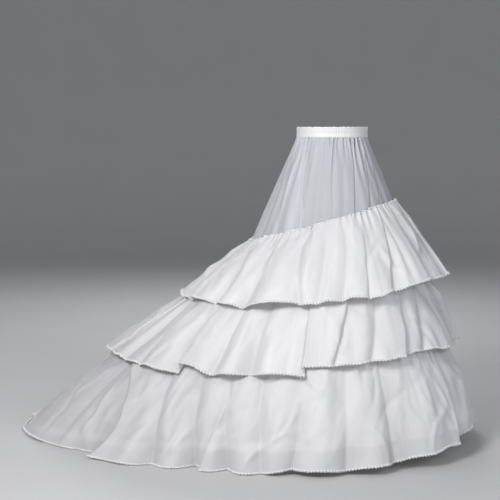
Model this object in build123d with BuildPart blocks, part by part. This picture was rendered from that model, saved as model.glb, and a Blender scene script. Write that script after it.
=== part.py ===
from build123d import *

import os
from math import atan2, cos, sin, tau

# Hooped bridal petticoat with a gathered yoke, three ruffles and a sweep train.
# The origin is the middle of the waist, level with the top edge of the waistband.
# X runs forward, Y to the wearer's left and Z up. A drop is measured down from the origin.
waist_to_floor = 1020.0
widest_lag = 0.15  # how far the widest point slips back, as a share of what the back reaches past the front

# Waistband: an elastic strip sewn into a folded satin casing
waist_half_depth = 111.0
waist_half_width = 126.0
waistband_height = 34.0
waistband_thickness = 4.6
elastic_height = 26.0
elastic_thickness = 1.6
elastic_play = 0.3

# Yoke seam, where the gathered yoke meets the underskirt and the upper ruffle
seam_front = 200.0
seam_back = 265.0
seam_half_width = 215.0
seam_front_drop = 240.0
seam_back_drop = 372.0
side_seam = -65.0  # the yoke's two side seams lie this far along X

# Hoops, each measured to the outer face of the underskirt round it
upper_hoop_front = 262.0
upper_hoop_back = 415.0
upper_hoop_half_width = 290.0
upper_hoop_front_drop = 425.0
upper_hoop_back_drop = 540.0
middle_hoop_front = 330.0
middle_hoop_back = 620.0
middle_hoop_half_width = 380.0
middle_hoop_front_drop = 665.0
middle_hoop_back_drop = 708.0
lower_hoop_front = 408.0
lower_hoop_back = 940.0
lower_hoop_half_width = 430.0
lower_hoop_front_drop = 905.0
lower_hoop_back_drop = 985.0

# Hems of the ruffles. The lower one is cut to run past the floor at the back, and is trimmed there.
upper_hem_front = 368.0
upper_hem_back = 487.0
upper_hem_half_width = 372.0
upper_hem_front_drop = 478.0
upper_hem_back_drop = 554.0
middle_hem_front = 404.0
middle_hem_back = 745.0
middle_hem_half_width = 440.0
middle_hem_front_drop = 692.0
middle_hem_back_drop = 742.0
lower_hem_front = 474.0
lower_hem_back = 1130.0
lower_hem_half_width = 500.0
lower_hem_front_drop = 958.0
lower_hem_back_drop = 1080.0

# Cloth, and how deep and how many its folds are
cloth_thickness = 1.2
cloth_gap = 0.5
heading_gap = 0.3
yoke_folds = 24
yoke_waist_fold_depth = 1.5
yoke_seam_fold_depth = 2.8
upper_ruffle_folds = 18
upper_ruffle_heading_depth = 6.5
upper_ruffle_hem_depth = 11.5
middle_ruffle_folds = 20
middle_ruffle_heading_depth = 7.5
middle_ruffle_hem_depth = 13.0
lower_ruffle_folds = 22
lower_ruffle_heading_depth = 8.0
lower_ruffle_hem_depth = 14.5
upper_ruffle_bow = 14.0  # how far a ruffle bows out, half-way down, from the straight
middle_ruffle_bow = 12.0
lower_ruffle_bow = 20.0
heading_rise = 12.0  # from a hoop's middle up to the edge of the ruffle that hangs over it

# How finely the cloth and the hoops are faceted
corners_per_fold = 6
corners_per_ring = 64

# Flat hoop bones, the sleeves that join their ends, and the tape casings they run in
bone_height = 6.0
bone_thickness = 1.2
bone_end_gap = 2.0
sleeve_length = 36.0
sleeve_wall = 0.5
sleeve_play = 0.2
channel_play = 0.3
casing_wall = 0.8
casing_edge = 4.0  # the tape's stitched edge, above and below the channel

# Underskirt: upright cloth round each hoop, and the gores that it is sewn from
upright_above = 20.0
upright_below = 14.0
front_seam_corner = 7  # corners from centre front to the seam between the front and side gores
train_seam_corner = 21  # and to the seam between the side and train gores

sleeve_height = bone_height + 2 * (sleeve_play + sleeve_wall)
sleeve_thickness = bone_thickness + 2 * (sleeve_play + sleeve_wall)
channel_height = sleeve_height + 2 * channel_play
channel_thickness = sleeve_thickness + 2 * channel_play
casing_height = channel_height + 2 * casing_edge
casing_thickness = channel_thickness + 2 * casing_wall
bone_inset = cloth_thickness + cloth_gap + casing_thickness / 2
band_middle = waistband_thickness / 2
pocket_height = elastic_height + 2 * elastic_play
pocket_thickness = elastic_thickness + 2 * elastic_play


class Ring:
    """An egg-shaped line round the skirt, in a plane that slopes down towards the train."""

    def __init__(self, front, back, half_width, front_drop, back_drop):
        self.back_point = Vector(-back, 0, -back_drop)
        self.slope = atan2(back_drop - front_drop, front + back)
        self.widest = -widest_lag * (back - front)
        self.drop = front_drop + (front - self.widest) * (back_drop - front_drop) / (front + back)
        self.half_width = half_width
        self.front_axis = (front - self.widest) / cos(self.slope)
        self.back_axis = (back + self.widest) / cos(self.slope)

    def plane(self, height=0.0):
        """The ring's plane, moved up along its own normal."""
        level = Plane(
            origin=(self.widest, 0, -self.drop),
            x_dir=(cos(self.slope), 0, sin(self.slope)),
            z_dir=(-sin(self.slope), 0, cos(self.slope)),
        )
        return level.offset(height)

    def outline(self, grow=0.0):
        """The front and back halves of the ring as curves, made larger or smaller all round."""
        width = self.half_width + grow
        front = EllipticalCenterArc((0, 0), self.front_axis + grow, width, start_angle=-90, arc_size=180)
        back = EllipticalCenterArc((0, 0), self.back_axis + grow, width, start_angle=90, arc_size=180)
        return [front, back]

    def corners(self, grow=0.0):
        """Evenly turned corners round the ring, in its own plane."""
        points = []
        for i in range(corners_per_ring):
            turn = tau * i / corners_per_ring
            depth = self.front_axis if cos(turn) > 0 else self.back_axis
            points.append(Vector((depth + grow) * cos(turn), (self.half_width + grow) * sin(turn)))
        return points


def fold_share(step):
    """How far round its ring a fold stands, where even steps would give folds of one width."""
    return step + 0.006 * sin(3 * tau * step) + 0.003 * sin(7 * tau * step)


def fold_size(step):
    """How deep a fold is, up to 1. The wide folds are the deep ones."""
    return 0.8 * (1 + 0.018 * tau * cos(3 * tau * step) + 0.021 * tau * cos(7 * tau * step))


def fold_corners(plane, ring, folds, depth, grow, side):
    """Corners round one face of folded cloth, at one of its edges. side is 1 outside, -1 inside.

    The crests are broad, and the narrow valleys all reach in as far as each other."""
    mean = Wire(ring.outline(grow))
    count = folds * corners_per_fold
    middle = []
    for i in range(count):
        step = i / count
        swell = depth * (2 * fold_size(step) * abs(cos(tau / 2 * folds * step)) ** 0.7 - 1)
        share = fold_share(step)
        outward = mean.tangent_at(share).cross(Vector(0, 0, 1))
        middle.append(mean.position_at(share) + outward * swell)
    corners = []
    for i, corner in enumerate(middle):
        along = (middle[(i + 1) % count] - middle[i - 1]).normalized()
        outward = along.cross(Vector(0, 0, 1))
        corners.append(plane.from_local_coords(corner + outward * side * cloth_thickness / 2))
    return corners


def bowed(low, high, bow):
    """The row of corners half-way between two rows, bowed out from the straight."""
    row = []
    for i, (foot, head) in enumerate(zip(low, high)):
        along = low[(i + 1) % len(low)] - low[i - 1]
        row.append((foot + head) / 2 + along.cross(head - foot).normalized() * bow)
    return row


def at_floor(foot, above):
    """Where cloth that hangs from above down to foot meets the floor, or foot where it ends higher."""
    if foot.Z >= -waist_to_floor:
        return foot
    return above + (foot - above) * ((above.Z + waist_to_floor) / (above.Z - foot.Z))


def facets(low, high, closed):
    """Flat facets between two rows of corners, two to each pair of neighbours."""
    found = []
    for i in range(0 if closed else 1, len(low)):
        found.append(Face(Wire.make_polygon([low[i - 1], low[i], high[i - 1]])))
        found.append(Face(Wire.make_polygon([low[i], high[i], high[i - 1]])))
    return found


def make_cloth(outer, inner, closed=True):
    """Cloth in flat facets. Each face is a list of rows of corners, lowest first, along the cloth."""
    skin = facets(outer[0], inner[0], closed) + facets(outer[-1], inner[-1], closed)
    for face in (outer, inner):
        for low, high in zip(face, face[1:]):
            skin += facets(low, high, closed)
    if not closed:
        for end in (0, -1):
            skin += facets([row[end] for row in outer], [row[end] for row in inner], False)
    with BuildPart() as cloth:
        add(Solid(Shell(skin)))
    return cloth


def make_folded(folds, upper, lower, bow=0.0):
    """Gathered cloth hung between two edges, each a plane, a ring, a fold depth and a growth."""
    faces = []
    for side in (1, -1):
        low, high = [
            fold_corners(plane, ring, folds, depth, grow, side) for plane, ring, depth, grow in (lower, upper)
        ]
        middle = bowed(low, high, bow)
        low = [at_floor(foot, above) for foot, above in zip(low, middle)]
        faces.append([low, middle, high])
    return make_cloth(*faces)


def make_strip(ring, middle, grow, height, thickness):
    """A flat strip on edge round a ring. middle is its mid height, and grow its mid thickness."""
    with BuildPart() as strip:
        with BuildSketch(ring.plane(middle - height / 2)):
            with BuildLine():
                Polyline(*ring.corners(grow + thickness / 2), close=True)
            make_face()
            with BuildLine():
                Polyline(*ring.corners(grow - thickness / 2), close=True)
            make_face(mode=Mode.SUBTRACT)
        extrude(amount=height)
    return strip


def make_casing(ring, middle, grow, outside, channel):
    """A tape with a closed channel through it. outside and channel are each a height and a thickness."""
    hollow = make_strip(ring, middle, grow, *channel)
    with BuildPart() as casing:
        add(make_strip(ring, middle, grow, *outside).part)
        add(hollow.part, mode=Mode.SUBTRACT)
    return casing


def make_bone(ring):
    """A flat bone bent round a hoop, its ends a little apart at the centre back."""
    with BuildPart() as bone:
        add(make_strip(ring, 0, -bone_inset, bone_height, bone_thickness).part)
        with Locations(ring.back_point):
            Box(4 * bone_inset, bone_end_gap, 4 * bone_height, mode=Mode.SUBTRACT)
    return bone


def make_sleeve(ring):
    """The flat metal sleeve that joins a bone's two ends."""
    with BuildPart() as sleeve:
        outside = (sleeve_height, sleeve_thickness)
        inside = (bone_height + 2 * sleeve_play, bone_thickness + 2 * sleeve_play)
        add(make_casing(ring, 0, -bone_inset, outside, inside).part)
        with Locations(ring.back_point):
            Box(4 * bone_inset, sleeve_length, 4 * sleeve_height, mode=Mode.INTERSECT)
    return sleeve


def save(piece, name):
    """Labels a finished piece and writes it to a file of its own."""
    piece.part.label = name
    export_step(piece.part, f"parts/{name}.step")


waist = Ring(waist_half_depth, waist_half_depth, waist_half_width, 0, 0)
yoke_seam = Ring(seam_front, seam_back, seam_half_width, seam_front_drop, seam_back_drop)
upper_hoop = Ring(
    upper_hoop_front, upper_hoop_back, upper_hoop_half_width, upper_hoop_front_drop, upper_hoop_back_drop
)
middle_hoop = Ring(
    middle_hoop_front, middle_hoop_back, middle_hoop_half_width, middle_hoop_front_drop, middle_hoop_back_drop
)
lower_hoop = Ring(
    lower_hoop_front, lower_hoop_back, lower_hoop_half_width, lower_hoop_front_drop, lower_hoop_back_drop
)
upper_hem = Ring(upper_hem_front, upper_hem_back, upper_hem_half_width, upper_hem_front_drop, upper_hem_back_drop)
middle_hem = Ring(
    middle_hem_front, middle_hem_back, middle_hem_half_width, middle_hem_front_drop, middle_hem_back_drop
)
lower_hem = Ring(lower_hem_front, lower_hem_back, lower_hem_half_width, lower_hem_front_drop, lower_hem_back_drop)

os.makedirs("parts", exist_ok=True)

# Waistband casing and its elastic
waistband = make_casing(
    waist,
    -waistband_height / 2,
    band_middle,
    (waistband_height, waistband_thickness),
    (pocket_height, pocket_thickness),
)
save(waistband, "waistband_casing")
elastic = make_strip(waist, -waistband_height / 2, band_middle, elastic_height, elastic_thickness)
save(elastic, "waist_elastic")

# Yoke, gathered into the waistband and cut at its side seams
yoke = make_folded(
    yoke_folds,
    (waist.plane(-waistband_height), waist, yoke_waist_fold_depth, band_middle),
    (yoke_seam.plane(), yoke_seam, yoke_seam_fold_depth, 0),
)
for name, keep in (("yoke_front", Keep.TOP), ("yoke_back", Keep.BOTTOM)):
    with BuildPart() as panel:
        add(yoke.part)
        split(bisect_by=Plane.YZ.offset(side_seam), keep=keep)
    save(panel, name)

# Underskirt, cut into five gores
levels = [
    (lower_hoop, -upright_below),
    (lower_hoop, upright_above),
    (middle_hoop, -upright_below),
    (middle_hoop, upright_above),
    (upper_hoop, -upright_below),
    (upper_hoop, upright_above),
    (yoke_seam, 0),
]
outer_face = []
inner_face = []
for ring, height in levels:
    outer_face.append([ring.plane(height).from_local_coords(corner) for corner in ring.corners()])
    inner_face.append([ring.plane(height).from_local_coords(corner) for corner in ring.corners(-cloth_thickness)])
half_way = corners_per_ring // 2
gores = {
    "underskirt_front": (-front_seam_corner, front_seam_corner),
    "underskirt_left": (front_seam_corner, train_seam_corner),
    "underskirt_train_left": (train_seam_corner, half_way),
    "underskirt_train_right": (-half_way, -train_seam_corner),
    "underskirt_right": (-train_seam_corner, -front_seam_corner),
}
for name, (start, end) in gores.items():
    panel = [[[row[i] for i in range(start, end + 1)] for row in face] for face in (outer_face, inner_face)]
    save(make_cloth(*panel, closed=False), name)

# Hoops: bone, sleeve and casing
hoops = {"upper": upper_hoop, "middle": middle_hoop, "lower": lower_hoop}
for name, ring in hoops.items():
    outside = (casing_height, casing_thickness)
    channel = (channel_height, channel_thickness)
    save(make_casing(ring, 0, -bone_inset, outside, channel), f"{name}_hoop_casing")
    save(make_bone(ring), f"{name}_hoop_bone")
    save(make_sleeve(ring), f"{name}_hoop_sleeve")

# Ruffles, gathered at the yoke seam and over the upper and middle hoops
ruffles = {
    "upper_ruffle": (
        (yoke_seam, 0, upper_ruffle_heading_depth),
        (upper_hem, upper_ruffle_hem_depth),
        upper_ruffle_folds,
        upper_ruffle_bow,
    ),
    "middle_ruffle": (
        (upper_hoop, heading_rise, middle_ruffle_heading_depth),
        (middle_hem, middle_ruffle_hem_depth),
        middle_ruffle_folds,
        middle_ruffle_bow,
    ),
    "lower_ruffle": (
        (middle_hoop, heading_rise, lower_ruffle_heading_depth),
        (lower_hem, lower_ruffle_hem_depth),
        lower_ruffle_folds,
        lower_ruffle_bow,
    ),
}
for name, ((ring, rise, heading_depth), (hem, hem_depth), folds, bow) in ruffles.items():
    heading_grow = heading_gap + cloth_thickness / 2 + heading_depth
    ruffle = make_folded(
        folds,
        (ring.plane(rise), ring, heading_depth, heading_grow),
        (hem.plane(), hem, hem_depth, 0),
        bow,
    )
    save(ruffle, name)
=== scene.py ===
import math
from typing import NamedTuple

import bmesh
import bpy
import numpy as np
from bpy.props import FloatProperty, FloatVectorProperty, IntProperty, PointerProperty
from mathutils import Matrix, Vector


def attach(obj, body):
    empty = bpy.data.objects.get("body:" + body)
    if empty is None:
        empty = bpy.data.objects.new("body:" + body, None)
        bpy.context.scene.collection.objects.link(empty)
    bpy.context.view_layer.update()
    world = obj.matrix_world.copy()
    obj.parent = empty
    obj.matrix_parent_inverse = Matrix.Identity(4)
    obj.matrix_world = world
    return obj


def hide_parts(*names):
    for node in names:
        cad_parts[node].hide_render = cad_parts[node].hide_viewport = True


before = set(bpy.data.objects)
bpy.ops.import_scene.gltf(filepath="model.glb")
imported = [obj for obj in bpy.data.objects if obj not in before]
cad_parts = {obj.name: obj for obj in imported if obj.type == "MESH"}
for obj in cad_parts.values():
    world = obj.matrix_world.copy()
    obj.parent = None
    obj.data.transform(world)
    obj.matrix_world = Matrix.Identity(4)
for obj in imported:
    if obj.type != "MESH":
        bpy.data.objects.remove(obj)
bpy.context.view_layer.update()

bl_info = {
    "name": "Hooped petticoat",
    "version": (1, 0, 0),
    "blender": (4, 5, 0),
    "location": "View3D > Sidebar > Petticoat",
    "description": "Builds a three-tier hooped petticoat with a sweep train round its packed frame",
    "category": "Add Mesh",
}

FLOOR = -1.02
WIDEST_LAG = 0.15  # how far a ring's widest point slips back, as a share of back reach past front reach
TAU = math.tau
MM = 0.001
THREAD = 0.0011  # from one thread of the cloth to the next


# Rings, sheets and strips


class Ring:
    """An egg-shaped line round the skirt, in a plane that slopes down towards the train."""

    def __init__(self, sizes):
        front, back, self.half_width, front_drop, back_drop = sizes
        slope = math.atan2(back_drop - front_drop, front + back)
        widest = -WIDEST_LAG * (back - front)
        drop = front_drop + (front - widest) * (back_drop - front_drop) / (front + back)
        self.middle = np.array([widest, 0, -drop])
        self.forward = np.array([math.cos(slope), 0, math.sin(slope)])
        self.up = np.array([-math.sin(slope), 0, math.cos(slope)])
        self.front_axis = (front - widest) / math.cos(slope)
        self.back_axis = (back + widest) / math.cos(slope)
        turns = np.linspace(-TAU / 4, 3 * TAU / 4, 4001)
        x, y = self.local(turns, 0)
        run = np.concatenate([[0], np.cumsum(np.hypot(np.diff(x), np.diff(y)))])
        self.turns, self.shares, self.length = turns, run / run[-1], run[-1]

    def local(self, turn, grow):
        reach = np.where(np.cos(turn) > 0, self.front_axis, self.back_axis) + grow
        return reach * np.cos(turn), (self.half_width + grow) * np.sin(turn)

    def at(self, share, grow=0.0, height=0.0):
        """Points this far round the ring, from the wearer's right side by way of the front."""
        share = np.asarray(share, float)
        x, y = self.local(np.interp(share % 1, self.shares, self.turns), grow)
        across = np.array([0, 1, 0])
        return self.middle + x[..., None] * self.forward + y[..., None] * across + np.multiply.outer(
            np.broadcast_to(height, share.shape), self.up
        )


def unit(vectors):
    return vectors / np.maximum(np.linalg.norm(vectors, axis=-1, keepdims=True), 1e-9)


def sideways_and_out(points):
    """The direction along each row of a closed grid, and the one out of its surface."""
    along = unit(np.roll(points, -1, 1) - np.roll(points, 1, 1))
    down = np.gradient(points, axis=0)
    return along, unit(np.cross(down, along))


def band_noise(rng, share, low, high, drift=0.0, down=0.0):
    """Waves round a ring, between two counts, that wander as they run down. About 1 high."""
    total = 0
    counts = np.unique(np.round(np.linspace(low, high, 9)))
    for count in counts:
        phase, lean, weight = rng.uniform(0, TAU), rng.normal(0, drift), rng.uniform(0.5, 1)
        total = total + weight * np.cos(TAU * count * share + phase + lean * down)
    return total / math.sqrt(len(counts) * 0.3)


def soft_step(value, low, high):
    x = np.clip((value - low) / (high - low), 0, 1)
    return x * x * (3 - 2 * x)


def grid_mesh(name, points, closed=True, facts=None):
    """A sheet mesh through rows of points, with the cloth's own measures kept as attributes."""
    rows, columns = points.shape[:2]
    mesh = bpy.data.meshes.new(name)
    index = np.arange(rows * columns).reshape(rows, columns)
    right = np.roll(index, -1, 1) if closed else index[:, 1:]
    left = index if closed else index[:, :-1]
    quads = np.stack([left[:-1], left[1:], right[1:], right[:-1]], -1).reshape(-1, 4)
    mesh.from_pydata(points.reshape(-1, 3).tolist(), [], quads.tolist())
    for key, value in (facts or {}).items():
        kind, part = ("FLOAT_VECTOR", "vector") if value.ndim == 3 else ("FLOAT", "value")
        measure = mesh.attributes.new(key, kind, "POINT")
        measure.data.foreach_set(part, value.astype(np.float32).ravel())
    mesh.shade_smooth()
    mesh.update()
    piece = bpy.data.objects.new(name, mesh)
    bpy.context.scene.collection.objects.link(piece)
    return piece


def tube_mesh(name, path, radius, sides, out, up):
    """A tube round a closed path, for a cord or a beaded edge. There is one radius per point."""
    turn = np.arange(sides) * TAU / sides
    ring = np.cos(turn)[:, None, None] * out[None] + np.sin(turn)[:, None, None] * up[None]
    points = path[None] + ring * radius[None, :, None]
    return grid_mesh(name, np.concatenate([points, points[:1]]))


def walk_round(rows, spacing, each=1):
    """Evenly spaced points round closed rows, with each one's share of the way and the first row's length."""
    steps = np.linalg.norm(np.roll(rows[0], -1, 0) - rows[0], axis=1)
    run = np.concatenate([[0], np.cumsum(steps)])
    count = int(run[-1] / spacing) * each
    at = np.arange(count) / count * run[-1]
    closed = [np.concatenate([row, row[:1]]) for row in rows]
    walks = [np.stack([np.interp(at, run, row[:, i]) for i in range(3)], -1) for row in closed]
    return walks, at / run[-1], run[-1]


def on_cloth(across, down):
    """Each point's place on the flat cloth, across it and down it."""
    across, down = np.broadcast_arrays(across, down)
    return np.stack([across, down, 0 * across], -1)


def dress(piece, material):
    piece.data.materials.clear()
    piece.data.materials.append(material)


def finish_piece(piece, material, slot, *nodes):
    """Dress a sheet, put it under the root body, and hide the solids of the frame that it stands for."""
    dress(piece, material)
    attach(piece, "root")
    if nodes:
        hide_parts(*nodes)
    return piece


# Materials


class Value:
    """A shader socket that takes part in plain arithmetic."""

    def __init__(self, shader, socket):
        self.shader, self.socket = shader, socket

    def math(self, operation, *others, clamp=False):
        sockets = {i: other for i, other in enumerate((self, *others))}
        return self.shader.node("ShaderNodeMath", {"operation": operation, "use_clamp": clamp}, sockets)

    def __add__(self, other):
        return self.math("ADD", other)

    def __sub__(self, other):
        return self.math("SUBTRACT", other)

    def __rsub__(self, other):
        return (self * -1).math("ADD", other)

    def __mul__(self, other):
        return self.math("MULTIPLY", other)

    __radd__ = __add__
    __rmul__ = __mul__

    def sin(self):
        return self.math("SINE")

    def abs(self):
        return self.math("ABSOLUTE")

    def clamp(self):
        return self.math("ADD", 0.0, clamp=True)

    def part(self, axis):
        """One of the three numbers of a vector."""
        return self.shader.node("ShaderNodeSeparateXYZ", {}, {0: self}, output="XYZ"[axis])


class Shader:
    """A material's node tree, built by calls that read as a list of its parts."""

    def __init__(self, name):
        self.material = bpy.data.materials.new(name)
        self.material.use_nodes = True
        self.tree = self.material.node_tree
        self.surface = self.tree.nodes["Principled BSDF"]

    def node(self, kind, settings=None, sockets=None, output=0):
        made = self.tree.nodes.new(kind)
        for key, setting in (settings or {}).items():
            setattr(made, key, setting)
        for key, value in (sockets or {}).items():
            self.join(made.inputs[key], value)
        return Value(self, made.outputs[output])

    def join(self, socket, value):
        if isinstance(value, Value):
            self.tree.links.new(value.socket, socket)
        else:
            socket.default_value = value

    def fact(self, name, output="Fac"):
        """A measure that the mesh carries, such as a place on the cloth."""
        return self.node("ShaderNodeAttribute", {"attribute_name": name}, output=output)

    def noise(self, at, scale, detail=2.0, roughness=0.5):
        """Soft noise, with this many lumps to the metre, or with a number of its own along each axis."""
        if isinstance(scale, tuple):
            at, scale = self.node("ShaderNodeVectorMath", {"operation": "MULTIPLY"}, {0: at, 1: scale}), 1.0
        sockets = {"Vector": at, "Scale": scale, "Detail": detail, "Roughness": roughness}
        return self.node("ShaderNodeTexNoise", {}, sockets)

    def place(self):
        return self.node("ShaderNodeTexCoord", output="Object")

    def colours(self, factor, low, high):
        """A mix of two colours. Sockets 6 and 7, and output 2, are the colour ones."""
        sockets = {"Factor": factor, 6: low, 7: high}
        return self.node("ShaderNodeMix", {"data_type": "RGBA"}, sockets, output=2)

    def shades(self, factor, colour, dark, light=1.0):
        return self.colours(factor, rgba(colour, dark), rgba(colour, light))

    def wave(self, at, pitch):
        """A ripple between 0 and 1, from one crest to the next in this distance."""
        return (at * (TAU / pitch)).sin() * 0.5 + 0.5

    def bump(self, height, distance, strength=1.0):
        sockets = {"Height": height, "Distance": distance, "Strength": strength}
        self.set(Normal=self.node("ShaderNodeBump", {}, sockets))

    def set(self, **values):
        """Set the surface's own sockets, with _ for a space in their names."""
        for key, value in values.items():
            self.join(self.surface.inputs[key.replace("_", " ")], value)


def rgba(colour, gain=1.0):
    return tuple(min(1.0, part * gain) for part in colour) + (1.0,)


def cloth_material(name, colour, cover=1.0, roughness=0.5, sheen=0.2, shine=0.4):
    """Woven cloth: crossing threads, faint slubs, soft crinkles, painted shade that deepens in the folds, and
    a darker painted-shade copy of the colour.
    """
    shader = Shader(name)
    cloth = shader.fact("cloth", "Vector")
    across, down = cloth.part(0), cloth.part(1)
    threads = ((across * (TAU / THREAD)).sin() * (down * (TAU / THREAD)).sin()) * 0.5 + 0.5
    slubs = shader.noise(cloth, (900.0, 26.0, 1.0))
    slubs_across = shader.noise(cloth, (24.0, 800.0, 1.0))
    crinkles = shader.noise(cloth, 60.0, 3.0, 0.55)
    # Painted shade: the fold fact darkens the colour in valleys and under lips, and lightens it on crests
    fold = shader.fact("fold")
    streaks = shader.noise(cloth, (16.0, 1.6, 1.0), 3.0)
    tone = (fold * 0.5 + 0.5).clamp() * 0.5 + (streaks - 0.5) * 0.7 + 0.2
    tone = tone + crinkles * 0.1 + slubs * 0.08 + slubs_across * 0.07
    clear = shader.shades(tone.clamp(), colour, 0.82, 1.04)
    # A darker copy of the colour: painted shade for the dim train and for the cloth below the lowest hoop
    dim = shader.shades(tone.clamp(), colour, 0.6, 0.86)
    shader.set(
        Base_Color=shader.colours(shader.fact("thin"), clear, dim),
        Roughness=roughness + (slubs - 0.5) * 0.16,
        Alpha=(cover + (threads - 0.5) * 0.04 + (slubs - 0.5) * 0.1).clamp(),
        Sheen_Weight=sheen,
        Sheen_Roughness=0.4,
        Specular_IOR_Level=shine,
    )
    shader.bump(threads * 0.12 + slubs * 0.3 + slubs_across * 0.25 + crinkles * 0.9, 0.0016, 0.6)
    return shader.material


def thread_material(name, colour):
    """Close twisted thread, for edgings and ruched headings."""
    shader = Shader(name)
    place = shader.place()
    twist = shader.node(
        "ShaderNodeTexWave",
        {"bands_direction": "DIAGONAL"},
        {"Vector": place, "Scale": 420.0, "Distortion": 3.0, "Detail": 2.0, "Detail Scale": 2.0},
        output=1,
    )
    fuzz = shader.noise(place, 900.0)
    shader.set(
        Base_Color=shader.shades(twist, colour, 0.9),
        Roughness=0.6 + (fuzz - 0.5) * 0.3,
        Sheen_Weight=0.2,
    )
    shader.bump(twist * 0.7 + fuzz * 0.3, 0.0006, 0.8)
    return shader.material


def satin_material(name, colour):
    """Satin over elastic: close shirring, two rows of stitches at each edge."""
    shader = Shader(name)
    cloth = shader.fact("cloth", "Vector")
    across, down = cloth.part(0), cloth.part(1)
    shine = shader.noise(cloth, (700.0, 50.0, 1.0), 3.0)
    puckers = shader.noise(cloth, (330.0, 40.0, 1.0))
    stitches = shader.wave(across, 0.0024)
    rows = 0.0
    for row in (0.0035, 0.0062, 0.0278, 0.0305):
        rows = (1.0 - ((down - row).abs() * (1 / 0.0005)).clamp()) + rows
    thread = rows.clamp() * stitches
    shader.set(
        # The colour is lighter along the shine streaks: painted sheen, together with the stitches
        Base_Color=shader.shades(shine * 0.5 + thread * 0.5, colour, 0.93),
        Roughness=0.42 + (shine - 0.5) * 0.25,
        Sheen_Weight=0.15,
    )
    shader.bump(puckers * 0.6 + thread * 0.35 - rows.clamp() * 0.25 + shine * 0.15, 0.0012, 0.8)
    return shader.material


def tape_material(name, colour):
    """Twill tape with a stitched line along each edge."""
    shader = Shader(name)
    cloth = shader.fact("cloth", "Vector")
    across, down = cloth.part(0), cloth.part(1)
    twill = shader.wave(across + down, 0.0013)
    stitches = shader.wave(across, 0.003)
    edge = (down - 0.5).abs()
    line = (1.0 - ((edge - 0.42).abs() * 40.0).clamp()) * stitches
    wear = shader.noise(cloth, 45.0, 3.0)
    shader.set(
        Base_Color=shader.shades((twill * 0.5 + wear * 0.5).clamp(), colour, 0.9),
        Roughness=0.7 + (wear - 0.5) * 0.2,
    )
    shader.bump(twill * 0.5 + line * 0.6, 0.0008, 0.7)
    return shader.material


def hard_material(name, colour, metallic, roughness, grain):
    """Plastic or plated steel, with drawn lines and faint scuffs."""
    shader = Shader(name)
    place = shader.place()
    lines = shader.noise(place, (40.0, 40.0, grain), 3.0)
    scuffs = shader.noise(place, 160.0, 4.0, 0.65)
    shader.set(
        Base_Color=shader.shades((lines * 0.6 + scuffs * 0.4).clamp(), colour, 0.82),
        Roughness=roughness + (scuffs - 0.5) * 0.25,
        Metallic=metallic,
    )
    shader.bump(lines * 0.6 + scuffs * 0.4, 0.0002, 0.5)
    return shader.material


def elastic_material(name, colour):
    """Ribbed elastic."""
    shader = Shader(name)
    place = shader.place()
    ribs = shader.wave(place.part(2), 0.0017)
    fuzz = shader.noise(place, 700.0)
    shader.set(
        Base_Color=shader.shades((ribs * 0.6 + fuzz * 0.4).clamp(), colour, 0.85),
        Roughness=0.75 + (fuzz - 0.5) * 0.2,
    )
    shader.bump(ribs * 0.7 + fuzz * 0.3, 0.0006, 0.7)
    return shader.material


# Sizes and colours


def ring_property(label, sizes):
    return FloatVectorProperty(
        name=label,
        description="Front reach, back reach, half width, front drop and back drop",
        size=5,
        default=sizes,
        min=0.0,
        unit="LENGTH",
        precision=3,
    )


def length_property(label, about, value):
    return FloatProperty(name=label, description=about, default=value, min=0.0, unit="LENGTH", precision=4)


def colour_property(label, about, value):
    return FloatVectorProperty(name=label, description=about, default=value, min=0, max=1, subtype="COLOR")


class PetticoatShape(bpy.types.PropertyGroup):
    """Sizes of the petticoat, in metres."""

    waist: ring_property("Waist", (0.111, 0.111, 0.126, 0.0, 0.0))
    yoke_seam: ring_property("Yoke seam", (0.2, 0.265, 0.215, 0.24, 0.372))
    upper_hoop: ring_property("Upper hoop", (0.262, 0.415, 0.29, 0.425, 0.54))
    middle_hoop: ring_property("Middle hoop", (0.33, 0.62, 0.38, 0.665, 0.708))
    lower_hoop: ring_property("Lower hoop", (0.408, 0.94, 0.43, 0.905, 0.985))
    upper_hem: ring_property("Upper hem", (0.368, 0.487, 0.372, 0.478, 0.554))
    middle_hem: ring_property("Middle hem", (0.404, 0.745, 0.44, 0.692, 0.742))
    lower_hem: ring_property("Lower hem", (0.474, 1.13, 0.5, 0.958, 1.08))
    band_height: length_property("Waistband height", "Height of the elastic waistband", 0.034)
    band_thickness: length_property("Waistband thickness", "From inside to outside", 0.0046)
    heading_rise: length_property("Heading rise", "From a hoop up to the heading of its ruffle", 0.012)
    bead_pitch: length_property("Edging pitch", "From one loop of the hem edging to the next", 0.0098)
    bead_radius: length_property("Edging size", "Half the height of the hem edging", 0.005)
    seed: IntProperty(name="Seed", description="Which of many ways the cloth falls", default=7, min=0)


class PetticoatColours(bpy.types.PropertyGroup):
    """Colours of the petticoat and the room."""

    organza: colour_property("Organza", "The three ruffles", (0.8, 0.8, 0.825))
    yoke: colour_property("Yoke taffeta", "The gathered yoke", (0.56, 0.565, 0.605))
    lining: colour_property("Underskirt taffeta", "The gored underskirt", (0.8, 0.8, 0.815))
    satin: colour_property("Waistband satin", "The waistband", (0.86, 0.86, 0.87))
    thread: colour_property("Edging thread", "Headings and hem edgings", (0.93, 0.93, 0.94))
    tape: colour_property("Casing tape", "The tapes that the hoops run in", (0.8, 0.8, 0.79))
    bone: colour_property("Hoop bone", "The hoops", (0.78, 0.78, 0.76))
    steel: colour_property("Sleeve steel", "The sleeves that join a hoop's ends", (0.55, 0.56, 0.57))
    elastic: colour_property("Elastic", "The elastic in the waistband", (0.75, 0.75, 0.73))
    room: colour_property("Backdrop", "The floor and the backdrop", (0.56, 0.56, 0.57))


def shape():
    return bpy.context.scene.petticoat_shape


def colours():
    return bpy.context.scene.petticoat_colours


# Ruffles

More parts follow.
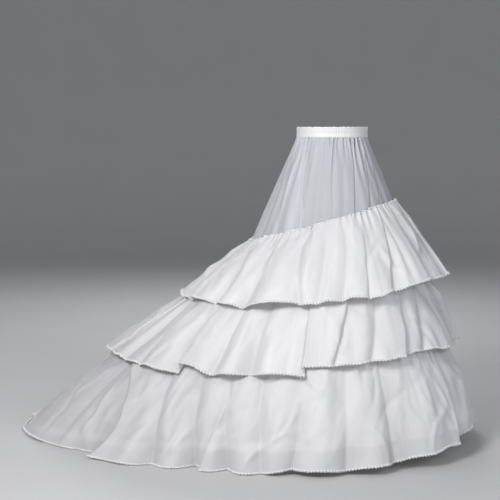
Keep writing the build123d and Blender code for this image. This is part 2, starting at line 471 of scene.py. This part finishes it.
LIP, UNDER, VALLEY = 0.8, -0.2, -0.3  # how high the cloth lies on a fold's lip, under it and in a valley
LIP_WIDTH = 0.011  # from a lip's edge to where its panel lies full
OVERLAP_SPAN = 0.01  # how far from a fold line the cloth slides most
SOFTNESS = 0.003  # how widely a crease is rounded


class Crease(NamedTuple):
    """A fold line where two panels of cloth meet.

    top and hem are its shares of the way round, at the heading and at the hem. over is above 0 where the
    panel before it lies over the next, below 0 where the next one lies over, and more where they overlap
    further; 0 is a plain valley. The drops lower the hem before and after it, and the reaches move the hem
    out along the floor.
    """

    top: float
    hem: float
    over: float
    size: float
    drop_before: float = 0.0
    drop_after: float = 0.0
    reach_before: float = 0.0
    reach_after: float = 0.0
    bend: float = 0.0


class Dart(NamedTuple):
    """A narrow fold that runs down from a gathered edge and dies away."""

    place: float
    lean: float
    run: float
    depth: float


# The folds placed down the wearer's right side. The rest of each ring is seeded.
UPPER_CREASES = [
    Crease(-0.181, -0.136, 0, 0.7, 0.0064, 0.0064, bend=0.02),
    Crease(-0.112, -0.092, 0, 0.6, 0.0185, 0.0185, bend=0.016),
    Crease(-0.036, -0.016, 0, 1.0, 0.008, 0.014),
    Crease(0.019, 0.006, 0, 0.6, 0.0159, 0.0159),
    Crease(0.052, 0.038, 0, 0.7, 0.0076, 0.0076),
    Crease(0.085, 0.067, 0.35, 0.55, 0.0125, 0.0155),
    Crease(0.134, 0.101, 0.35, 0.65, 0.0018, 0.0018),
    Crease(0.215, 0.165, 0.4, 0.8, -0.0105, -0.0156),
]
UPPER_DARTS = [
    Dart(-0.02, 0.004, 0.4, 0.004),
    Dart(0.004, 0.0, 0.35, 0.004),
    Dart(0.075, -0.01, 0.3, 0.004),
]
MIDDLE_CREASES = [
    Crease(-0.189, -0.172, 0, 0.8, 0.008, 0.0144),
    Crease(-0.126, -0.119, -2, 0.8, 0.027, -0.008),
    Crease(-0.085, -0.081, 0, 0.7, 0.0234, 0.0234),
    Crease(-0.05, -0.046, 0, 0.4, 0.0183, 0.0183),
    Crease(0.002, 0.005, -2, 1.0, 0.0178, -0.0091),
    Crease(0.057, 0.032, 0.35, 0.65, -0.003, -0.0045),
    Crease(0.093, 0.071, 0, 0.8, -0.0113, -0.0113),
    Crease(0.127, 0.105, 2, 1.0, -0.0104, -0.0195),
    Crease(0.166, 0.135, 0, 0.9, -0.021, -0.021),
]
LOWER_CREASES = [
    Crease(-0.36, -0.315, 1, 0.7, reach_before=0.02, reach_after=0.01),
    Crease(-0.235, -0.151, -3, 1.0, reach_before=-0.03, reach_after=0.004, bend=0.035),
    Crease(-0.141, -0.099, 0, 0.9, reach_before=0.014, reach_after=0.014),
    Crease(-0.106, -0.066, 0, 1.0, reach_before=-0.03, reach_after=-0.03),
    Crease(-0.074, -0.04, 0, 0.8, reach_before=-0.014, reach_after=-0.014),
    Crease(-0.04, -0.013, 0, 0.8, 0.0103, 0.0103, 0.036, 0.036),
    Crease(-0.004, 0.008, 0, 0.9, -0.0022, -0.0022, bend=0.006),
    Crease(0.045, 0.048, 0, 0.6, 0.0143, 0.0143),
    Crease(0.078, 0.084, 0, 0.8, 0.0086, 0.0086),
    Crease(0.158, 0.146, 0.5, 0.9, 0.0018, -0.0076),
    Crease(0.21, 0.177, 1, 1.0, -0.0205, -0.0205),
]
LOWER_DARTS = [
    Dart(-0.02, 0.0, 0.4, 0.006),
    Dart(0.062, -0.01, 0.32, 0.006),
    Dart(0.072, 0.006, 0.3, 0.006),
]
YOKE_CREASES = [
    Crease(-0.226, -0.116, 0, 0.7),
    Crease(-0.104, -0.043, 0.7, 1.0, bend=-0.014),
    Crease(-0.03, 0.0, 0, 0.5, bend=0.01),
    Crease(0.037, 0.023, 0.8, 1.3, bend=-0.008),
    Crease(0.072, 0.05, 0, 0.6),
    Crease(0.106, 0.076, 0.85, 1.4, bend=0.006),
    Crease(0.181, 0.121, 0.85, 1.4),
    Crease(0.225, 0.155, 0.5, 1.1),
    Crease(0.263, 0.195, 0.5, 1.0),
]
YOKE_DARTS = [
    Dart(-0.11, 0.004, 0.55, 0.005),
    Dart(-0.009, 0, 0.4, 0.004),
    Dart(0.025, -0.004, 0.6, 0.005),
    Dart(0.068, -0.008, 0.5, 0.005),
    Dart(0.142, -0.016, 0.6, 0.006),
    Dart(0.174, -0.02, 0.7, 0.006),
]


class RufflePlan(NamedTuple):
    """What one ruffle hangs from and down to, and how its cloth falls."""

    heading: Ring
    hem: Ring
    carrier: str
    rise: float
    stand_off: float
    bow: float
    panel_width: float
    depth: float
    gathers: int
    columns: int
    rows: int
    creases: list
    darts: list


def all_creases(rng, placed, width, on_floor):
    """The placed creases, and seeded ones over the rest of the ring, as one Crease of arrays."""
    found = list(placed)
    place, stop = placed[-1].hem, 1 + placed[0].hem
    while place < stop - 0.7 * width:
        place += width * rng.uniform(0.7, 1.4)
        if place < stop - 0.5 * width:
            over = rng.choice([0.0, 0.0, 1.0, -1.0])
            drops = rng.uniform(-0.007, 0.007, 2) if over else [rng.uniform(-0.005, 0.007)] * 2
            reach = rng.uniform(-0.02, 0.015) * on_floor
            top, size = place + rng.normal(0, 0.2) * width, rng.uniform(0.6, 1.15)
            found.append(Crease(top, place, over, size, *drops, reach, reach, rng.normal(0, 0.06) * width))
    creases = Crease(*np.array(sorted(found, key=lambda crease: crease.hem)).T)
    return creases._replace(top=np.sort(creases.top))


def ramp_width(wide, over):
    """How much of a panel the cloth takes to rise from its edge: little at a lip, most of it under one."""
    return np.where(over > 0, LIP_WIDTH, np.where(over < 0, 0.85 * wide, 0.46 * wide))


def hang_in_panels(share, down, length, creases, depth, roll):
    """How far the cloth lifts, slides, drops and reaches where it falls in broad panels between creases."""
    lift, slide, drop, reach = (np.zeros((len(down), len(share))) for _ in range(4))
    over = creases.over
    before = np.where(over > 0, LIP, np.where(over < 0, UNDER, VALLEY)) * creases.size
    after = np.where(over < 0, LIP, np.where(over > 0, UNDER, VALLEY)) * creases.size
    for i, v in enumerate(down):
        edge = np.sort(creases.top + (creases.hem - creases.top) * v + creases.bend * 4 * v * (1 - v))
        edge = np.append(edge, edge[0] + 1)
        s = edge[0] + (share - edge[0]) % 1
        k = np.clip(np.searchsorted(edge, s, "right") - 1, 0, len(over) - 1)
        n = (k + 1) % len(over)
        wide = (edge[k + 1] - edge[k]) * length[i]
        past, ahead = (s - edge[k]) * length[i], (edge[k + 1] - s) * length[i]
        fall_in = 1 - np.sin(TAU / 4 * np.clip(past / ramp_width(wide, -over[k]), 0, 1))
        fall_out = 1 - np.sin(TAU / 4 * np.clip(ahead / ramp_width(wide, over[n]), 0, 1))
        growth = (0.16 + 0.84 * v**0.85) * np.clip(wide / 0.12, 0.3, 1.3)
        lift[i] = depth * growth * (1 - (1 - after[k]) * fall_in - (1 - before[n]) * fall_out)
        for gap, which in ((past, k), (-ahead, n)):
            x = gap / OVERLAP_SPAN
            slide[i] -= np.abs(over[which]) * roll * (0.2 + 0.8 * v**0.7) * x * np.exp(0.5 - x * x / 2)
        phase = past / wide
        drop[i] = creases.drop_after[k] + (creases.drop_before[n] - creases.drop_after[k]) * phase
        reach[i] = creases.reach_after[k] + (creases.reach_before[n] - creases.reach_after[k]) * phase
    side = 12  # points that the blur reaches each way
    kernel = np.exp(-0.5 * (np.arange(-side, side + 1) * length.mean() / len(share) / SOFTNESS) ** 2)
    kernel /= kernel.sum()

    def soften(rows):
        wrapped = (np.concatenate([row[-side:], row, row[:side]]) for row in rows)
        return np.stack([np.convolve(row, kernel, "valid") for row in wrapped])

    return soften(lift), slide, soften(drop), soften(reach)


def pinches(rng, share, down, length, placed, count, narrow, spread, longest):
    """Darts, placed and seeded, under a gathered edge."""
    total = np.zeros((len(down), len(share)))
    v = down[:, None]
    darts = list(placed)
    for i in range(count):
        place, lean = (i + rng.uniform(0, 0.9)) / count, rng.normal(0, 0.006)
        darts.append(Dart(place, lean, rng.uniform(0.1, longest), rng.uniform(0.0015, 0.0042)))
    for dart in darts:
        gap = ((share[None] - dart.place - dart.lean * v + 0.5) % 1 - 0.5) * length[:, None]
        x = np.abs(gap / (narrow + spread * v))
        left = np.clip(1 - v / dart.run, 0, 1) ** 1.3
        total += dart.depth * left * (0.66 * np.exp(-((x - 1.7) ** 2)) - np.exp(-(x**1.4)))
    return total


def from_line(share, down, length, place, height, angle):
    """Distances along and across a line through one spot, at this angle to the cloth's fall."""
    x = ((share[None] - place + 0.5) % 1 - 0.5) * length[:, None]
    y = down[:, None] - height
    return y * math.cos(angle) + x * math.sin(angle), x * math.cos(angle) - y * math.sin(angle)


def wrinkles(rng, share, down, length, tall, count, high):
    """Short straight creases across the cloth at many angles, as taffeta keeps them."""
    total = np.zeros((len(down), len(share)))
    for _ in range(count):
        place, height = rng.uniform(0, 1), rng.uniform(0.1, 0.95) * tall
        angle = rng.normal(0, 0.65) + TAU / 4 * (rng.uniform() < 0.25)
        along, across = from_line(share, down * tall, length, place, height, angle)
        reach, wide = rng.uniform(0.025, 0.07), rng.uniform(0.004, 0.012)
        bump = np.exp(-((along / reach) ** 4) - np.abs(across) / wide)
        total += rng.choice([-1, 1]) * high * rng.uniform(0.4, 1) * wide / 0.008 * bump
    return total


def swells(rng, share, down, length, tall, count, high):
    """Broad soft puffs and hollows that slant and curve down the cloth, no two alike."""
    total = np.zeros((len(down), len(share)))
    for _ in range(count):
        place, height = rng.uniform(0, 1), rng.uniform(0.15, 0.95) * tall
        angle, bend = rng.normal(0, 0.45), rng.normal(0, 2.5)
        along, across = from_line(share, down * tall, length, place, height, angle)
        across = across + bend * along**2
        reach, wide = rng.uniform(0.04, 0.1), rng.uniform(0.009, 0.026)
        bump = np.exp(-((along / reach) ** 2) - (across / wide) ** 2)
        total += rng.choice([-1, 1]) * high * rng.uniform(0.4, 1) * bump
    return total


def sharpened(waves):
    """Waves with broad crests and narrower valleys."""
    return waves - 0.22 * (waves**2 - 1)


def painted_shade_amount(points, on_floor):
    """How much painted shade dims the cloth: most at the train, to the left and low down over the open floor,
    where less light reaches.
    """
    thin = soft_step(-points[..., 0], -0.05, 0.62) * soft_step(-points[..., 2], 0.5, 0.86)
    if on_floor:
        # One layer hangs below the lowest hoop: painted shade of the dark inside seen through it, and less of
        # it where the hoop's pale tape shows faintly through
        hoop = Ring(shape().lower_hoop)
        height = (points - hoop.middle) @ hoop.up
        thin = thin + 0.42 * soft_step(-height, 0.006, 0.02) * (1 - thin)
        thin = thin - 0.3 * np.exp(-((height / 0.011) ** 4))
    return thin


def drape_ruffle(name, plan):
    """Points and facts of one ruffle. The cloth is gathered at its heading and flares to its hem."""
    rng = np.random.default_rng(shape().seed + len(name))
    heading, hem, depth = plan.heading, plan.hem, plan.depth
    share = np.arange(plan.columns) / plan.columns
    down = np.linspace(0, 1, plan.rows) ** 1.08  # rows lie closest at the heading
    v = down[:, None]
    sway = np.clip(band_noise(rng, share, 5, 16), -1.5, 1.5)
    top = heading.at(share, plan.stand_off, plan.rise + 0.002 + 0.0015 * sway)
    foot = hem.at(share, -0.6 * depth)
    on_floor = foot[:, 2] < FLOOR
    stop = np.where(on_floor, (top[:, 2] - FLOOR) / np.maximum(top[:, 2] - foot[:, 2], 1e-6), 1.0)
    fall = (foot - top) * stop[:, None]
    base = top[None] + fall[None] * v[..., None]
    along, out = sideways_and_out(base)
    base = base + out * (4 * v * (1 - v) * plan.bow * (1.15 - 0.3 * v))[..., None]
    along, out = sideways_and_out(base)

    length = heading.length + (hem.length - heading.length) * down
    creases = all_creases(rng, plan.creases, plan.panel_width, on_floor.any())
    lift, slide, drop, reach = hang_in_panels(share, down, length, creases, depth, 0.006)
    tall = float(np.linalg.norm(fall, axis=1).mean())
    area = hem.length * tall
    waves = sharpened(band_noise(rng, share, 12, 30, 2.0, v))
    ripples = sharpened(band_noise(rng, share, 44, 80, 1.0, v))
    lift = lift + depth * 0.14 * waves * v**0.6 + 0.0009 * ripples * v**0.5 * (1 - 0.6 * v)
    count = int(heading.length / 0.036)
    tucks = pinches(rng, share, down, length, plan.darts, count, narrow=0.0045, spread=0.03, longest=0.45)
    fine = np.clip(band_noise(rng, share, plan.gathers * 0.6, plan.gathers, 1.4, v), -1.6, 1.6)
    tight = np.clip(0.65 + 0.35 * band_noise(rng, share, 4, 11), 0.2, 1.1)
    lift = lift + tucks + 0.0024 * fine * np.exp(-v / 0.12) * tight
    lift = lift + swells(rng, share, down, length, tall, int(area * 110), high=0.0052)
    lift = lift + wrinkles(rng, share, down, length, tall, int(area * 190), high=0.0012)

    points = base + out * lift[..., None] + along * slide[..., None]
    drop = drop + 0.0016 * band_noise(rng, share, 12, 40)
    points = points + unit(fall)[None] * (drop * v**1.5 * ~on_floor)[..., None]
    level = unit(out[-1] * [1, 1, 0])
    points = points + level[None] * (reach * v**2 * on_floor)[..., None]
    points[..., 2] = np.maximum(points[..., 2], FLOOR + 0.0015)
    # fold, the lift over the depth, paints shade into the colour: darker in valleys, lighter on crests
    cloth, fold = on_cloth(share[None] * hem.length * 1.12, tall * v), np.clip(lift / depth, -1, 1)
    return points, {"cloth": cloth, "fold": fold, "thin": painted_shade_amount(points, on_floor.any())}


def edging(name, rows, rng):
    """A beaded picot edge along the last of a ruffle's rows."""
    beats = 6  # points along one bead
    (path, higher), share, _ = walk_round([rows[-1], rows[-4]], shape().bead_pitch, beats)
    down = unit(path - higher)
    along = unit(np.roll(path, -1, 0) - np.roll(path, 1, 0))
    out = unit(np.cross(down, along))
    beat = np.abs(np.cos(np.arange(len(path)) / beats * math.pi))
    radius = shape().bead_radius * (0.34 + 0.66 * beat**0.7) * rng.uniform(0.85, 1.15, len(path))
    stir = 0.0004 * band_noise(rng, share, 150, 300)
    path = path + down * (radius * 0.7)[:, None] + out * (radius * 0.3 + stir)[:, None]
    path[:, 2] = np.maximum(path[:, 2], FLOOR + radius)
    return tube_mesh(name, path, radius, 6, out * 0.3, -down)


def ruched_heading(name, row, above, rng, size):
    """The ruched line of cloth where a ruffle is gathered on."""
    (path,), share, around = walk_round([row], 0.0016)
    along = unit(np.roll(path, -1, 0) - np.roll(path, 1, 0))
    rise = unit(above - np.einsum("ij,j->i", along, above)[:, None] * along)
    out = unit(np.cross(along, rise))
    radius = size * (0.8 + 0.13 * band_noise(rng, share, around / 0.011, around / 0.008))
    radius = np.clip(radius, size * 0.35, size * 1.3)
    path = path + rise * (0.0006 * band_noise(rng, share, 30, 60))[:, None]
    return tube_mesh(name, path, radius, 8, out, rise)


class PETTICOAT_OT_ruffles(bpy.types.Operator):
    """Hang the three gathered ruffles, with their ruched headings and picot hem edgings"""

    bl_idname = "petticoat.ruffles"
    bl_label = "Ruffles"

    def execute(self, context):
        sizes, tints = shape(), colours()
        organza = cloth_material(
            "ruffle organza", tints.organza, cover=0.9, roughness=0.4, sheen=0.25, shine=0.5
        )
        thread = thread_material("edging thread", tints.thread)
        for name, plan in self.plans(sizes).items():
            rng = np.random.default_rng(sizes.seed * 3 + len(name))
            points, facts = drape_ruffle(name, plan)
            cloth = finish_piece(grid_mesh(f"{name}_cloth", points, True, facts), organza, "organza", name)
            edge = finish_piece(edging(f"{name}_edging", points, rng), thread, "organza")
            ridge = ruched_heading(f"{name}_heading", points[0], plan.heading.up, rng, 0.003)
            finish_piece(ridge, thread, "organza")
            deep = float(np.linalg.norm(points[-1] - points[0], axis=1).mean())
        return {"FINISHED"}

    def plans(self, sizes):
        return {
            "upper_ruffle": RufflePlan(
                Ring(sizes.yoke_seam), Ring(sizes.upper_hem), "yoke_front", rise=0.0, stand_off=0.0048,
                bow=0.006, panel_width=0.05, depth=0.019, gathers=105, columns=1000, rows=75,
                creases=UPPER_CREASES, darts=UPPER_DARTS,
            ),
            "middle_ruffle": RufflePlan(
                Ring(sizes.upper_hoop), Ring(sizes.middle_hem), "underskirt_front",
                rise=sizes.heading_rise, stand_off=0.0082,
                bow=0.008, panel_width=0.045, depth=0.02, gathers=130, columns=1080, rows=72,
                creases=MIDDLE_CREASES, darts=[],
            ),
            "lower_ruffle": RufflePlan(
                Ring(sizes.middle_hoop), Ring(sizes.lower_hem), "underskirt_front",
                rise=sizes.heading_rise, stand_off=0.0087,
                bow=0.016, panel_width=0.04, depth=0.023, gathers=170, columns=1320, rows=62,
                creases=LOWER_CREASES, darts=LOWER_DARTS,
            ),
        }


# Yoke, underskirt, hoops and waistband


class PETTICOAT_OT_yoke(bpy.types.Operator):
    """Gather the two yoke panels into the waistband, and seam them at the sides"""

    bl_idname = "petticoat.yoke"
    bl_label = "Yoke"

    def execute(self, context):
        front, back = colours().yoke, rgba(colours().yoke, 1.1)[:3]
        taffeta = {
            "yoke_front": cloth_material("yoke taffeta", front, cover=0.96, roughness=0.48),
            "yoke_back": cloth_material("yoke back taffeta", back, cover=0.96, roughness=0.48),
        }
        points, facts = self.drape(shape())
        side_seam = -0.065
        for name, is_front in (("yoke_front", True), ("yoke_back", False)):
            piece = grid_mesh(f"{name}_cloth", points, True, facts)
            self.cut(piece, side_seam, is_front)
            finish_piece(piece, taffeta[name], "yoke_taffeta", name)
        for side in (1, -1):
            self.seam_ridge(points, side_seam, side, taffeta["yoke_front"])
        return {"FINISHED"}

    def drape(self, sizes):
        """Points and facts of the cloth all round, gathered into the waistband."""
        rng = np.random.default_rng(sizes.seed + 40)
        waist, seam = Ring(sizes.waist), Ring(sizes.yoke_seam)
        columns, bow, depth = 900, 0.003, 0.008
        share = np.arange(columns) / columns
        down = np.linspace(0, 1, 60)
        v = down[:, None]
        top = waist.at(share, sizes.band_thickness / 2, -sizes.band_height)
        foot = seam.at(share)
        base = top[None] + (foot - top)[None] * v[..., None]
        along, out = sideways_and_out(base)
        base = base + out * (4 * v * (1 - v) * bow)[..., None]
        length = waist.length + (seam.length - waist.length) * down
        creases = all_creases(rng, YOKE_CREASES, 0.055, False)
        panels, slide = hang_in_panels(share, down**0.5, length, creases, depth, 0.004)[:2]
        fine = band_noise(rng, share, 40, 66, 1.6, v) * (0.6 + 0.4 * band_noise(rng, share, 3, 8))
        broad = band_noise(rng, share, 22, 37, 1.2, v)
        tucks = pinches(rng, share, down, length, YOKE_DARTS, 44, narrow=0.0022, spread=0.012, longest=0.5)
        lift = panels - depth * v**0.5 + 0.0022 * fine * np.exp(-v / 0.3) + 0.0011 * broad * v**0.5
        lift = lift + 0.8 * tucks
        points = base + out * lift[..., None] + along * slide[..., None]
        cloth = on_cloth(share[None] * seam.length * 1.5, 0.31 * v)
        # fold paints shade into the yoke's colour: darker in valleys, lighter on crests
        return points, {"cloth": cloth, "fold": np.clip(lift / 0.003, -1, 1)}

    def cut(self, piece, at, keep_front):
        """Keep what lies in front of the side seams, or behind them."""
        mesh = bmesh.new()
        mesh.from_mesh(piece.data)
        bmesh.ops.bisect_plane(
            mesh,
            geom=mesh.verts[:] + mesh.edges[:] + mesh.faces[:],
            plane_co=(at, 0, 0),
            plane_no=(1, 0, 0),
            clear_inner=keep_front,
            clear_outer=not keep_front,
        )
        mesh.to_mesh(piece.data)
        mesh.free()
        piece.data.shade_smooth()

    def seam_ridge(self, points, at, side, material):
        """The felled seam down one side of the yoke, a narrow raised ridge."""
        line = []
        for row in points:
            near = row[row[:, 1] * side > 0]
            order = np.argsort(near[:, 0])
            line.append([np.interp(at, near[order, 0], near[order, i]) for i in range(3)])
        line = np.array(line)
        out = np.array([0.0, side, 0.25])
        path = line + out * 0.0003
        half = np.array([0.0016, 0, 0])
        section = [(-1, 0.0), (-0.7, 0.0007), (0, 0.0011), (0.7, 0.0007), (1, 0.0)]
        grid = np.stack([path + half * x + out * z for x, z in section], 1)
        if side < 0:
            grid = grid[:, ::-1]
        cloth = on_cloth(np.linspace(0, 0.004, 5)[None], np.linspace(0, 0.31, len(line))[:, None])
        name = "yoke_seam_left" if side > 0 else "yoke_seam_right"
        ridge = grid_mesh(name, grid, False, {"cloth": cloth, "fold": np.full(grid.shape[:2], 0.6)})
        finish_piece(ridge, material, "yoke_taffeta")


class PETTICOAT_OT_underskirt(bpy.types.Operator):
    """Hang the five gores of the underskirt over the hoops"""

    bl_idname = "petticoat.underskirt"
    bl_label = "Underskirt"

    def execute(self, context):
        sizes = shape()
        taffeta = cloth_material("underskirt taffeta", colours().lining, roughness=0.55, shine=0.35)
        levels = [(Ring(sizes.yoke_seam), 0.0)]
        for hoop in (sizes.upper_hoop, sizes.middle_hoop, sizes.lower_hoop):
            levels += [(Ring(hoop), 0.02), (Ring(hoop), -0.014)]
        half_way, front_seam, train_seam = 32, 7, 21  # in 64ths of a turn from the front
        gores = {
            "underskirt_front": (-front_seam, front_seam),
            "underskirt_left": (front_seam, train_seam),
            "underskirt_train_left": (train_seam, half_way),
            "underskirt_train_right": (-half_way, -train_seam),
            "underskirt_right": (-train_seam, -front_seam),
        }
        for number, (name, (start, end)) in enumerate(gores.items()):
            rng = np.random.default_rng(sizes.seed + 60 + number)
            turns = np.linspace(start, end, (end - start) * 6 + 1) * TAU / (2 * half_way)
            points, facts = self.drape_gore(rng, levels, turns)
            piece = grid_mesh(f"{name}_cloth", points, False, facts)
            finish_piece(piece, taffeta, "underskirt_taffeta", name)
        return {"FINISHED"}

    def drape_gore(self, rng, levels, turns):
        """Points and facts of one gore, taut over the hoops and slack between them."""
        lines = []
        for ring, height in levels:
            x, y = ring.local(turns, -0.0006)
            level = ring.middle + height * ring.up
            lines.append(level + x[:, None] * ring.forward + y[:, None] * np.array([0, 1, 0]))
        rows = []
        for upper, lower in zip(lines, lines[1:]):
            steps = max(3, int(np.linalg.norm(lower - upper, axis=1).mean() / 0.012))
            rows += [upper + (lower - upper) * step / steps for step in range(steps)]
        grid = np.array(rows + lines[-1:])
        down = np.gradient(grid, axis=0)
        out = unit(np.cross(down, unit(np.gradient(grid, axis=1))))
        run = np.cumsum(np.linalg.norm(down, axis=2).mean(1))
        at_hoops = np.zeros(len(run))
        for line in lines[1:]:
            place = np.argmin(np.abs(grid - line[None]).sum((1, 2)))
            at_hoops = np.maximum(at_hoops, np.exp(-(((run - run[place]) / 0.03) ** 2)))
        share = np.linspace(0, 1, grid.shape[1])
        wave = band_noise(rng, share, 2, 7, 1.5, run[:, None] * 4)
        edge = soft_step(share, 0, 0.06) * soft_step(1 - share, 0, 0.06)
        lift = -0.0022 * (wave * 0.5 + 0.9) * (1 - at_hoops)[:, None] * edge
        across = share[None] * np.linalg.norm(np.diff(grid, axis=1), axis=2).sum(1)[:, None]
        facts = {"cloth": on_cloth(across, run[:, None]), "fold": 0 * across + 0.5}
        return grid + out * lift[..., None], facts


class PETTICOAT_OT_hoops(bpy.types.Operator):
    """Sew the hoop casings, and finish the bones and the sleeves that join them"""

    bl_idname = "petticoat.hoops"
    bl_label = "Hoops"

    def execute(self, context):
        sizes, tints = shape(), colours()
        tape = tape_material("casing tape", tints.tape)
        bone = hard_material("hoop bone", tints.bone, metallic=0.0, roughness=0.42, grain=400.0)
        steel = hard_material("sleeve steel", tints.steel, metallic=1.0, roughness=0.34, grain=900.0)
        # The tape's section over the bone, in millimetres: height from its middle, and thickness
        profile = [(-9.03, 0.3625), (-6.3, 0.725), (-4.095, 2.9), (0.0, 3.4075)]
        profile += [(-height, thick) for height, thick in profile[-2::-1]]
        back = -0.0018  # from the hoop's line in to the back of its tape
        share = np.arange(384) / 384
        for number, name in enumerate(("upper", "middle", "lower")):
            rng = np.random.default_rng(sizes.seed + 80 + number)
            ring = Ring(getattr(sizes, f"{name}_hoop"))
            ripple = 0.0003 * band_noise(rng, share, 60, 160)
            rows = []
            for height, thick in profile:
                grow = back - thick * MM + ripple * (abs(height) < 7)
                rows.append(ring.at(share, grow, height * MM))
            rows += [ring.at(share, back, height * MM) for height, _ in reversed(profile)]
            measure = np.append(np.tile(np.linspace(0, 1, len(profile)), 2), 0)
            cloth = on_cloth(share[None] * ring.length, measure[:, None])
            piece = grid_mesh(f"{name}_hoop_tape", np.array(rows + rows[:1]), True, {"cloth": cloth})
            finish_piece(piece, tape, "casing_tape", f"{name}_hoop_casing")
            dress(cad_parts[f"{name}_hoop_bone"], bone)
            dress(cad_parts[f"{name}_hoop_sleeve"], steel)
        return {"FINISHED"}


class PETTICOAT_OT_waistband(bpy.types.Operator):
    """Make the shirred satin waistband and finish its elastic"""

    bl_idname = "petticoat.waistband"
    bl_label = "Waistband"

    def execute(self, context):
        sizes, tints = shape(), colours()
        waist = Ring(sizes.waist)
        rng = np.random.default_rng(sizes.seed + 90)
        columns = 900
        share = np.arange(columns) / columns
        half, thick = sizes.band_height / 2, sizes.band_thickness
        corner = 0.22  # how square the band's section is, from 1 for an ellipse down to 0 for a box
        tight = 0.6 + 0.4 * band_noise(rng, share, 2, 6)
        fine = band_noise(rng, share, 75, 115)
        wander = 0.0006 * band_noise(np.random.default_rng(5), share, 20, 60)
        rows, drops = [], []
        for turn in np.linspace(0, TAU, 57):
            side, top = math.sin(turn), math.cos(turn)
            grow = thick / 2 + math.copysign(abs(side) ** corner, side) * (thick / 2 - 0.0003)
            height = math.copysign(abs(top) ** corner, top) * (half - 0.0004) - half
            middle = 1 - abs((height + half) / half) ** 4
            shirr = 0.0003 * fine * tight * middle * (1 if side > 0 else -1)
            rise = wander * (height > -half) * (1 - middle)
            channel = abs(math.sin(4 * math.pi * height / sizes.band_height)) ** 0.7 - 1
            grow = grow + 0.0011 * channel * (side > 0.5) + shirr - 0.0002 * middle
            rows.append(waist.at(share, grow, height + rise))
            drops.append(-height)
        cloth = on_cloth(share[None] * waist.length, np.array(drops)[:, None])
        band = grid_mesh("waistband_satin", np.array(rows), True, {"cloth": cloth})
        satin = satin_material("waistband satin", tints.satin)
        finish_piece(band, satin, "waistband_satin", "waistband_casing")
        dress(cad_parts["waist_elastic"], elastic_material("waist elastic", tints.elastic))
        return {"FINISHED"}


# Stage


class PETTICOAT_OT_stage(bpy.types.Operator):
    """Lay the floor and backdrop, and set the lamps and the camera"""

    bl_idname = "petticoat.stage"
    bl_label = "Stage"

    def execute(self, context):
        scene = context.scene
        scene.view_settings.view_transform = "Standard"
        self.backdrop()
        world = bpy.data.worlds.new("room light")
        world.use_nodes = True
        sky = world.node_tree.nodes["Background"].inputs
        sky["Color"].default_value = (0.9, 0.93, 1.0, 1)
        sky["Strength"].default_value = 0.3
        scene.world = world
        self.lamp("key", (-1.2, -2.9, 1.35), (0.05, 0, -0.45), 1.2, 84.0, (1.0, 0.99, 0.98))
        self.lamp("left fill", (-3.0, -1.2, 1.6), (-0.3, 0, -0.4), 2.2, 8.0, (0.97, 0.98, 1.0))
        self.lamp("right fill", (2.3, -2.4, 1.0), (0.1, 0, -0.4), 1.8, 37.0, (0.97, 0.98, 1.0))
        self.lamp("rim", (-0.8, 3.0, 1.8), (-0.3, 0, -0.5), 1.8, 52.0, (1.0, 1.0, 1.0))
        camera = bpy.data.objects.new("camera", bpy.data.cameras.new("camera"))
        camera.location = (0.3718, -3.8449, -0.0221)
        aim = Vector((-0.2702, 0.0, -0.4055))
        camera.rotation_euler = (aim - camera.location).to_track_quat("-Z", "Y").to_euler()
        camera.data.sensor_width = 36.0
        camera.data.lens = 85.03
        scene.collection.objects.link(camera)
        scene.camera = camera
        return {"FINISHED"}

    def lamp(self, name, place, aim, size, power, colour):
        light = bpy.data.lights.new(name, "AREA")
        light.shape, light.size, light.energy, light.color = "DISK", size, power, colour
        lamp = bpy.data.objects.new(name, light)
        lamp.location = place
        lamp.rotation_euler = (Vector(aim) - Vector(place)).to_track_quat("-Z", "Y").to_euler()
        bpy.context.scene.collection.objects.link(lamp)

    def backdrop(self):
        """A round floor that curves up into a wall behind, all in one sweep."""
        turn = np.arange(96) / 96
        radii = [0.0001, 2.0, 4.0, 6.0, 6.8, 7.4, 7.8, 8.0, 8.0]
        heights = [0.0, 0.0, 0.0, 0.0, 0.12, 0.45, 0.95, 1.6, 6.0]
        circle = np.stack([np.cos(TAU * turn), np.sin(TAU * turn), 0 * turn], -1)
        rows = [circle * radius + [0, 0, FLOOR + rise] for radius, rise in zip(radii, heights)]
        sweep = grid_mesh("floor", np.array(rows))
        shader = Shader("backdrop paper")
        place = shader.place()
        grain = shader.noise(place, 3.0, 4.0)
        shader.set(
            Base_Color=shader.shades(grain, colours().room, 0.97, 1.03),
            Roughness=0.85,
            Specular_IOR_Level=0.2,
        )
        sweep.data.materials.append(shader.material)


class PETTICOAT_PT_build(bpy.types.Panel):
    """The steps that build the petticoat, in order"""

    bl_label = "Petticoat"
    bl_idname = "PETTICOAT_PT_build"
    bl_space_type = "VIEW_3D"
    bl_region_type = "UI"
    bl_category = "Petticoat"

    def draw(self, context):
        for operator in OPERATORS:
            self.layout.operator(operator.bl_idname)


OPERATORS = (
    PETTICOAT_OT_stage,
    PETTICOAT_OT_waistband,
    PETTICOAT_OT_yoke,
    PETTICOAT_OT_underskirt,
    PETTICOAT_OT_hoops,
    PETTICOAT_OT_ruffles,
)
CLASSES = (PetticoatShape, PetticoatColours, *OPERATORS, PETTICOAT_PT_build)


def register():
    for cls in CLASSES:
        bpy.utils.register_class(cls)
    bpy.types.Scene.petticoat_shape = PointerProperty(type=PetticoatShape)
    bpy.types.Scene.petticoat_colours = PointerProperty(type=PetticoatColours)


def unregister():
    del bpy.types.Scene.petticoat_shape
    del bpy.types.Scene.petticoat_colours
    for cls in reversed(CLASSES):
        bpy.utils.unregister_class(cls)


def main():
    register()
    for operator in OPERATORS:
        group, name = operator.bl_idname.split(".")
        getattr(getattr(bpy.ops, group), name)()


if __name__ == "__main__":
    main()
